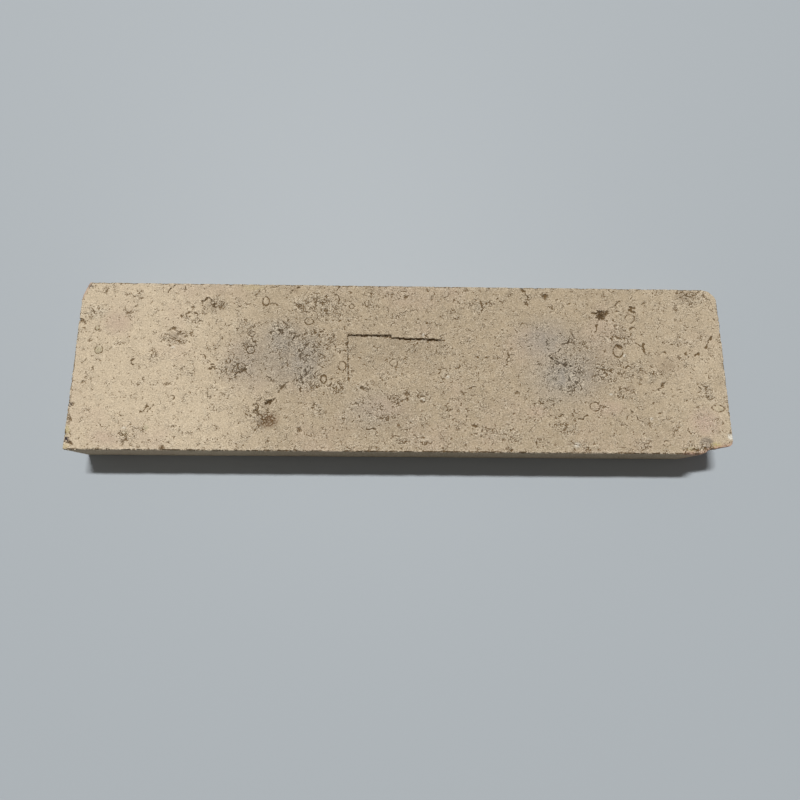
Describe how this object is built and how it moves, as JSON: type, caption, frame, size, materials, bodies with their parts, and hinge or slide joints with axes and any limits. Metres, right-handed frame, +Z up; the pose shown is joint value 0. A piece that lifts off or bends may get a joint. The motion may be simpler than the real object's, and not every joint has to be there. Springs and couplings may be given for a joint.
{
  "type": "stove firebrick",
  "caption": "Long rectangular fireclay brick that lines a stove's firebox, with a shallow blank stamped recess in its top face and knocked corners.",
  "frame": {"origin": "centre of the bed face, the plain underside that the brick lies on", "axes": "+X along the length, +Y across the width away from the viewer of the picture, +Z up out of the stamped face"},
  "size_m": [0.432, 0.114, 0.032],
  "materials": {
    "fired_clay": "matte"
  },
  "bodies": {
    "root": {"firebrick": "fired_clay"}
  },
  "joints": []
}
